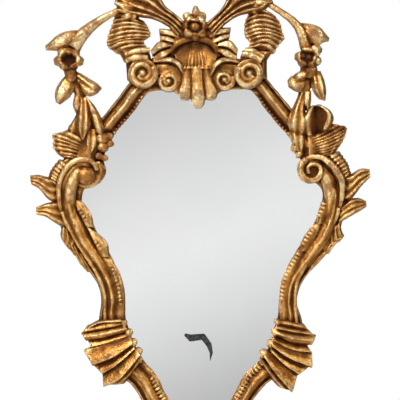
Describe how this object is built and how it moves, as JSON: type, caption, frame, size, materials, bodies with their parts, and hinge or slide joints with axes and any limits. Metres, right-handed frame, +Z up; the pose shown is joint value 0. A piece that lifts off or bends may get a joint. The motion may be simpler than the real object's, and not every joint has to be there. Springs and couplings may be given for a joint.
{
  "type": "wall mirror",
  "caption": "Wall mirror in a carved gilded frame with a scrolled shell crest, leaf sprays and flower garlands, hung by a strap let into its back.",
  "frame": {"origin": "centre of the wall face of the hanging strap, at the back of the crest", "axes": "+X to the viewer's right across the frame, +Y into the wall, +Z up"},
  "size_m": [0.5105, 0.0474, 0.7217],
  "materials": {
    "gilt_wood": "aged gold leaf over red-brown bole on carved wood",
    "mirror_glass": "silvered glass with a small loss in the silvering",
    "back_board": "old pine, unfinished",
    "iron": "dark wrought iron"
  },
  "bodies": {
    "root": {"carved_frame": "gilt_wood", "mirror_plate": "mirror_glass", "back_board": "back_board", "hanger_strap": "iron", "hanger_screw_1": "iron", "hanger_screw_2": "iron"}
  },
  "joints": []
}
